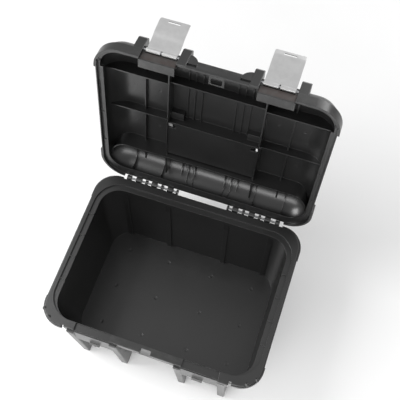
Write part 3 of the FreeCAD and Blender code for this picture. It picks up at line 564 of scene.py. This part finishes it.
def wire_pin(length, radius, collar=None):
    """Outline of a pin, as (x, radius) from its middle; the collar is (from, to, radius)."""
    half = length / 2.0
    chamfer = 0.35 * radius
    outline = [(-half, radius - chamfer), (-half + chamfer, radius)]
    if collar:
        start, stop, size = collar
        cut = COLLAR_CHAMFER_MM
        outline += [(start, radius), (start, size - cut), (start + cut, size)]
        outline += [(stop - cut, size), (stop, size - cut), (stop, radius)]
    return outline + [(half - chamfer, radius), (half, radius - chamfer)]


def add_pin(node, body, matrix, radius, collar=None):
    """A turned pin in place of a CAD pin, with the same length and place."""
    low, high = (Vector(corner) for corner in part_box(node))
    length = (high.x - low.x) / MM
    middle = matrix.inverted() @ ((low + high) / 2.0)
    shape = bmesh.new()
    lathe_x(shape, wire_pin(length, radius, collar), middle, steps=32)
    return add_piece(f"{node}_wire", shape, matrix, body, pin_steel, [node])


STRAIGHT = Matrix.Identity(4)
for side, sign in (("left", -1.0), ("right", 1.0)):
    add_pin(f"hinge_pin_{side}", "tub_body", STRAIGHT, PIN_RADIUS_MM)
    add_pin(f"latch_pin_{side}", "lid_body", OPENED, PIN_RADIUS_MM)
    low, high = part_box(f"handle_pin_{side}")
    from_middle = sign * (COLLAR_X_MM - abs(low[0] + high[0]) / (2.0 * MM))
    collar = (from_middle - COLLAR_HALF_MM, from_middle + COLLAR_HALF_MM, COLLAR_RADIUS_MM)
    add_pin(f"handle_pin_{side}", "lid_body", OPENED, HANDLE_PIN_RADIUS_MM, collar)

# %% [markdown]
# ## Webs behind the rear round
# The lid's rear edge is a wide round, and on the inside thin webs cross it to keep it stiff over the hinges.
# The outer two on each side stand upright and deep. The inner two are low ribs, and lean inwards as they
# come down to the hinges.

# %% Rear webs
WEB_MM = 1.8
WEB_STEPS = 24
SUNK_MM = 0.4            # how far a web reaches into the wall behind it
# The webs of one side, as (x at the panel, x at the flange, depth)
WEBS_MM = ((156.0, 156.0, 10.0), (96.0, 96.0, 6.5), (56.0, 40.0, 2.5), (42.0, 28.0, 2.5))


def rear_web(shape, x_top, x_low, deep):
    """A thin web that follows the rear round from the panel (x_top) to the flange (x_low)."""
    middle_y = LID_BACK_MM - LID_WALL_MM - DOME_MM
    middle_z = PANEL_MM - DOME_MM
    outer, inner = DOME_MM + SUNK_MM, DOME_MM - deep
    rings = []
    for i in range(WEB_STEPS + 1):
        angle = math.radians(90.0 * (1.0 - i / WEB_STEPS))
        x = x_top + (x_low - x_top) * i / WEB_STEPS
        ring = []
        for radius, side in ((outer, 1), (inner, 1), (inner, -1), (outer, -1)):
            y = middle_y + radius * math.cos(angle)
            z = middle_z + radius * math.sin(angle)
            ring.append(shape.verts.new(Vector((x + side * WEB_MM / 2.0, y, z)) * MM))
        rings.append(ring)
    skin(shape, rings)
    shape.faces.new(rings[0])
    shape.faces.new(rings[-1])


webs = bmesh.new()
for sign in (-1.0, 1.0):
    for x_top, x_low, deep in WEBS_MM:
        rear_web(webs, sign * x_top, sign * x_low, deep)
add_piece("lid_rear_webs", webs, OPENED, "lid_body", lid_plastic)
print("rear webs made")

# %% [markdown]
# ## Ribs that follow the lid's front corners
# The lid's front corners take the knocks, so four low ribs run round each of them on the inside. They are
# drawn as rings of a small section, swept round the corner at four heights on the dome.

# %% Corner ribs
CORNER_RIB_MM = 1.6
CORNER_PROUD_MM = 1.5
PLAN_CORNER_MM = 46.0    # outside radius of the lid's corners, seen from above
CORNER_RINGS = 33
CORNER_ENDS_DEG = (-6.0, -84.0)
CLIMBS_DEG = (8.0, 24.0, 40.0, 55.0)
# Round a rib's section, as (out into the wall, share of the rib's thickness)
RIB_SECTION = ((0.5, 0.5), (-CORNER_PROUD_MM, 0.35), (-CORNER_PROUD_MM, -0.35), (0.5, -0.5))


def corner_rib(shape, climb, sign):
    """A low rib round a front corner, where the dome's edge has climbed by this angle from upright."""
    drop = DOME_MM * (1.0 - math.cos(math.radians(climb)))
    height = PANEL_MM - DOME_MM + DOME_MM * math.sin(math.radians(climb))
    first, last = CORNER_ENDS_DEG
    middle = Vector((LID_HALF_MM - PLAN_CORNER_MM, LID_FRONT_MM + PLAN_CORNER_MM, height))
    radius = PLAN_CORNER_MM - LID_WALL_MM - drop
    rings = []
    for i in range(CORNER_RINGS):
        angle = math.radians(first + (last - first) * i / (CORNER_RINGS - 1))
        out = Vector((math.cos(angle), math.sin(angle), 0.0))
        ring = []
        for across, up in RIB_SECTION:
            spot = middle + out * (radius + across) + Vector((0.0, 0.0, up * CORNER_RIB_MM))
            ring.append(shape.verts.new(Vector((sign * spot.x, spot.y, spot.z)) * MM))
        rings.append(ring)
    skin(shape, rings)
    shape.faces.new(rings[0])
    shape.faces.new(rings[-1])


corners = bmesh.new()
for sign in (-1.0, 1.0):
    for climb in CLIMBS_DEG:
        corner_rib(corners, climb, sign)
add_piece("lid_corner_ribs", corners, OPENED, "lid_body", lid_plastic)
print("corner ribs made")

# %% [markdown]
# ## Frame round the handle's pocket
# The handle folds into a pocket in the lid's outside. A low raised frame runs round the pocket's mouth,
# where a hand would rub it.

# %% Pocket frame
POCKET_MM = (86.0, -1.0, 84.0)      # half width, front, back
# Across the frame's top, as (out from the mouth, height over the lid)
FRAME_SECTION_MM = ((0.3, -1.0), (0.3, 0.7), (0.8, 1.2), (2.2, 1.2), (3.0, 0.6), (3.4, -0.4))


def rounded_loop(half, front, back, corner, steps=8):
    """Points round a rounded rectangle that is even about x = 0."""
    loop = []
    for x, y, start in ((half, front, -90.0), (half, back, 0.0), (-half, back, 90.0), (-half, front, 180.0)):
        centre_x = x - math.copysign(corner, x)
        centre_y = y + corner if y == front else y - corner
        for i in range(steps + 1):
            angle = math.radians(start + 90.0 * i / steps)
            loop.append((centre_x + corner * math.cos(angle), centre_y + corner * math.sin(angle)))
    return loop


def pocket_frame():
    """A low moulded frame with a rounded top, round the pocket's mouth."""
    half, front, back = POCKET_MM
    shape = bmesh.new()
    rings = []
    for grown, height in FRAME_SECTION_MM:
        loop = rounded_loop(half + grown, front - grown, back + grown, 1.0 + grown)
        rings.append([shape.verts.new(Vector((x, y, LID_TOP_MM + height)) * MM) for x, y in loop])
    skin(shape, rings, closed=True)
    return shape


add_piece("lid_pocket_frame", pocket_frame(), OPENED, "lid_body", lid_plastic)
print("pocket frame made")

# %% [markdown]
# ## Ejector marks
# A moulding is pushed out of its tool by steel pins. Each leaves a round mark with a faint raised rim on the
# inside: here on the lid's panel and on the tub's floor.

# %% Ejector marks
FLOOR_MM = 3.0
LID_MARK_RADIUS_MM = 4.0
LID_MARK_X_MM = (112.0, 160.0)
LID_MARK_Y_MM = (-52.0, 45.0)
FLOOR_MARK_RADIUS_MM = 5.0
FLOOR_MARK_X_MM = (50.0, 140.0)
FLOOR_MARK_Y_MM = (-85.0, 0.0, 85.0)
MARK_POINTS = 32


def mark_outline(radius):
    """Height above the wall against radius, from the middle out."""
    return [(0.02, 0.4), (0.02, radius - 1.4), (0.16, radius - 0.9), (0.18, radius - 0.5), (-0.3, radius)]


def add_marks(name, places, radius, up, matrix, body, material):
    """Round marks on a wall that faces up (up is 1) or down (up is -1)."""
    shape = bmesh.new()
    for x, y, z in places:
        rings = []
        for height, r in mark_outline(radius):
            ring = []
            for i in range(MARK_POINTS):
                angle = 2.0 * math.pi * i / MARK_POINTS
                spot = Vector((x + r * math.cos(angle), y + r * math.sin(angle), z + up * height))
                ring.append(shape.verts.new(spot * MM))
            rings.append(ring)
        skin(shape, rings)
        shape.faces.new(rings[0])
    return add_piece(name, shape, matrix, body, material)


lid_spots = [(s * x, y, PANEL_MM) for s in (-1, 1) for x in LID_MARK_X_MM for y in LID_MARK_Y_MM]
add_marks(
    "lid_ejector_marks", lid_spots, LID_MARK_RADIUS_MM, -1.0,
    OPENED, "lid_body", lid_plastic)
floor_spots = [(s * x, y, FLOOR_MM) for s in (-1, 1) for x in FLOOR_MARK_X_MM for y in FLOOR_MARK_Y_MM]
add_marks(
    "tub_ejector_marks", floor_spots, FLOOR_MARK_RADIUS_MM, 1.0,
    STRAIGHT, "tub_body", tub_plastic)
print("ejector marks:", len(lid_spots) + len(floor_spots))

# %% [markdown]
# ## Studio
# The box stands on a round pale floor that sweeps up all round, so there is no sharp horizon from any side.
# A big soft light above and to the left gives the shape, a smaller one behind draws the edges, and a weak
# low one in front lifts the tub's front wall. A pale world fills the shadows. The camera looks steeply down
# from the front right.

# %% Floor, lights and camera
CAMERA_AZIMUTH = math.radians(18.81)
CAMERA_ELEVATION = math.radians(65.01)
CAMERA_DISTANCE = 1.4305
AIM_LEFT_MM = 4.0
AIM_BEFORE_HINGE_MM = 3.9
CAMERA_AIM = Vector((-AIM_LEFT_MM * MM, HINGE.y - AIM_BEFORE_HINGE_MM * MM, RIM_Z))
LENS_MM = 64.56
SENSOR_MM = 36.0
WORLD_STRENGTH = 0.62
FLAT_M = 3.0
SWEEP_M = 3.0
SWEEP_DEG = 75.0
SWEEP_STEPS = 16
FLOOR_POINTS = 96
PAPER_MM = 400.0


def studio_floor():
    """The round paper floor and its sweep."""
    material, tree, shader = new_material("pale_paper_sweep", Roughness=0.85)
    place = add_node(tree, "ShaderNodeTexCoord").outputs["Object"]
    tone = ramp(tree, noise(tree, place, PAPER_MM), [(0.3, linear("#f4f4f4")), (0.7, linear("#f8f8f8"))])
    tree.links.new(tone, shader.inputs["Base Color"])
    sheet = bmesh.new()
    outline = [(0.5, 0.0), (FLAT_M, 0.0)]
    for i in range(1, SWEEP_STEPS + 1):
        angle = math.radians(SWEEP_DEG * i / SWEEP_STEPS)
        outline.append((FLAT_M + SWEEP_M * math.sin(angle), SWEEP_M * (1.0 - math.cos(angle))))
    rings = []
    for radius, height in outline:
        turns = [2.0 * math.pi * i / FLOOR_POINTS for i in range(FLOOR_POINTS)]
        rings.append([sheet.verts.new((radius * math.cos(t), radius * math.sin(t), height)) for t in turns])
    skin(sheet, rings)
    sheet.faces.new(rings[0])
    bmesh.ops.recalc_face_normals(sheet, faces=sheet.faces)
    mesh = bpy.data.meshes.new("floor")
    sheet.to_mesh(mesh)
    sheet.free()
    mesh.polygons.foreach_set("use_smooth", [True] * len(mesh.polygons))
    floor = bpy.data.objects.new("floor", mesh)
    bpy.context.scene.collection.objects.link(floor)
    mesh.materials.append(material)


def softbox(name, place, aim, size, watts):
    """A rectangular light at place that shines towards aim and is not seen by the camera."""
    data = bpy.data.lights.new(name, "AREA")
    data.shape = "RECTANGLE"
    data.size, data.size_y = size
    data.energy = watts
    lamp = bpy.data.objects.new(name, data)
    lamp.visible_camera = False
    lamp.location = place
    lamp.rotation_euler = (Vector(aim) - Vector(place)).to_track_quat("-Z", "Y").to_euler()
    bpy.context.scene.collection.objects.link(lamp)


def pale_world(strength):
    """A plain white world of this strength."""
    world = bpy.data.worlds.new("pale_studio")
    world.use_nodes = True
    world.node_tree.nodes["Background"].inputs["Color"].default_value = (1.0, 1.0, 1.0, 1.0)
    world.node_tree.nodes["Background"].inputs["Strength"].default_value = strength
    bpy.context.scene.world = world


def studio_camera():
    """The camera, at its distance from the point it aims at."""
    across = math.sin(CAMERA_AZIMUTH) * math.cos(CAMERA_ELEVATION)
    along = -math.cos(CAMERA_AZIMUTH) * math.cos(CAMERA_ELEVATION)
    back = Vector((across, along, math.sin(CAMERA_ELEVATION)))
    data = bpy.data.cameras.new("camera")
    data.lens = LENS_MM
    data.sensor_width = SENSOR_MM
    camera = bpy.data.objects.new("camera", data)
    camera.location = CAMERA_AIM + back * CAMERA_DISTANCE
    camera.rotation_euler = (-back).to_track_quat("-Z", "Y").to_euler()
    bpy.context.scene.collection.objects.link(camera)
    bpy.context.scene.camera = camera


studio_floor()
studio_camera()
pale_world(WORLD_STRENGTH)
softbox("top_light", (-1.3, -0.2, 1.7), aim=(0.0, 0.1, 0.25), size=(1.0, 1.0), watts=24.0)
softbox("back_light", (0.7, 1.9, 1.2), aim=(0.0, 0.15, 0.3), size=(1.0, 0.5), watts=10.0)
softbox("floor_light", (0.0, -0.75, 0.55), aim=(-0.02, -0.42, 0.0), size=(1.0, 0.4), watts=5.0)
bpy.context.scene.view_settings.view_transform = "Standard"
